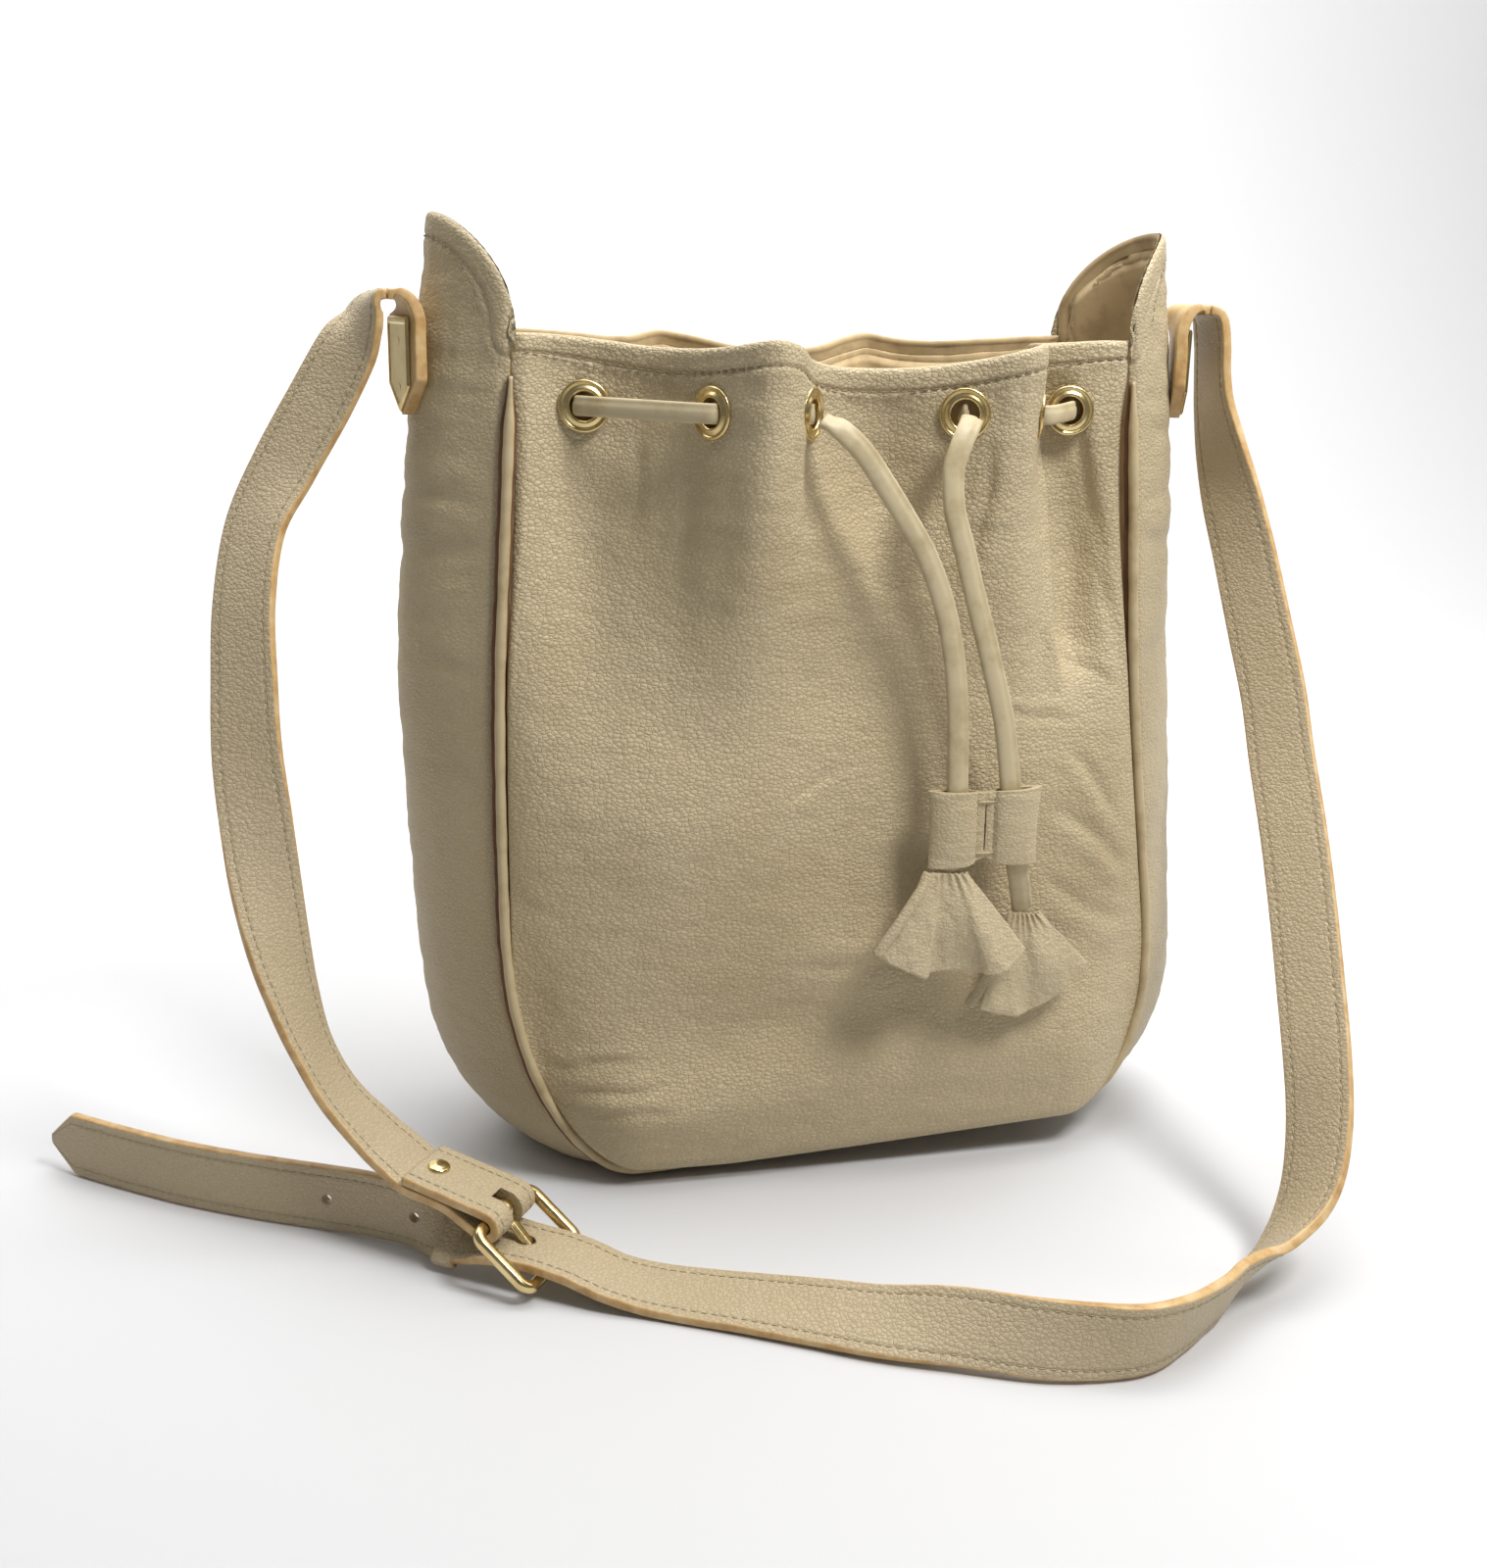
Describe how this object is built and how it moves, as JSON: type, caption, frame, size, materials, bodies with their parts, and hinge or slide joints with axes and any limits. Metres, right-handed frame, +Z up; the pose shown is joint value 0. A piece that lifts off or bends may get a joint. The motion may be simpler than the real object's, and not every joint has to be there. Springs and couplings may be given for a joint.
{
  "type": "bucket bag",
  "caption": "Soft leather bucket bag with side ears, a laced drawstring mouth, tassels on a sliding toggle and a buckled shoulder strap.",
  "frame": {"origin": "on the floor under the middle of the bag's mouth", "axes": "+X to the right seen from the front, +Y to the back, +Z up"},
  "size_m": [0.4779, 0.2836, 0.3581],
  "materials": {
    "body_leather": "pebbled cream leather",
    "piping_leather": "smooth cream leather",
    "lining": "plain tan split leather",
    "eyelet_metal": "polished pale gold plate",
    "lace_leather": "folded and stitched cream leather lace",
    "tassel_leather": "creased cream leather",
    "thread": "waxed sewing thread",
    "edge_leather": "tan painted edge on cream leather",
    "strap_leather": "stitched cream strap leather with tan edges",
    "gold_metal": "polished pale gold plate"
  },
  "bodies": {
    "bag": {"front_panel": "body_leather", "back_panel": "body_leather", "gusset": "body_leather", "front_piping": "piping_leather", "back_piping": "piping_leather", "lining_front": "lining", "lining_back": "lining", "lining_gusset": "lining", "eyelets_front": "eyelet_metal", "eyelets_back": "eyelet_metal", "washers_front": "eyelet_metal", "washers_back": "eyelet_metal", "drawstring_mouth": "lace_leather", "strap_tab_left": "edge_leather", "strap_tab_right": "edge_leather", "plate_left": "gold_metal", "plate_right": "gold_metal", "plate_rivets_left": "gold_metal", "plate_rivets_right": "gold_metal"},
    "strap": {"strap_short": "strap_leather", "strap_long": "strap_leather", "strap_keeper": "strap_leather", "buckle_rivet": "gold_metal"},
    "buckle": {"buckle_frame": "gold_metal"},
    "prong": {"buckle_prong": "gold_metal"},
    "pull_cords": {"drawstring_tail_left": "lace_leather", "drawstring_tail_right": "lace_leather"},
    "toggle": {"cord_slide": "tassel_leather", "slide_staples": "thread"},
    "left_tassel": {"tassel_left": "tassel_leather"},
    "right_tassel": {"tassel_right": "tassel_leather"}
  },
  "joints": [
    {"name": "strap_swing", "type": "hinge", "parent": "bag", "child": "strap", "pos_m": [0, -0.005, 0.3295], "axis": [-1, 0, 0], "range_deg": [0, 150]},
    {"name": "buckle_turn", "type": "hinge", "parent": "strap", "child": "buckle", "pos_m": [-0.1305, -0.106, 0.023], "axis": [0.6097, 0.7915, 0.0422], "range_deg": [0, 3]},
    {"name": "prong_turn", "type": "hinge", "parent": "buckle", "child": "prong", "pos_m": [-0.1305, -0.106, 0.023], "axis": [0.6097, 0.7915, 0.0422], "range_deg": [0, 2]},
    {"name": "cord_lift", "type": "hinge", "parent": "bag", "child": "pull_cords", "pos_m": [-0.013, -0.07, 0.291], "axis": [-0.9943, -0.1065, 0], "range_deg": [0, 60]},
    {"name": "toggle_slide", "type": "slide", "parent": "pull_cords", "child": "toggle", "axis": [-0.09, 0.035, 0.9953], "range_m": [0, 0.028]},
    {"name": "tassel_left_swing", "type": "hinge", "parent": "pull_cords", "child": "left_tassel", "pos_m": [0.0375, -0.0808, 0.1278], "axis": [0, 1, 0], "range_deg": [-4, 15]},
    {"name": "tassel_right_swing", "type": "hinge", "parent": "pull_cords", "child": "right_tassel", "pos_m": [0.071, -0.0716, 0.1095], "axis": [0, 1, 0], "range_deg": [-15, 15]}
  ]
}
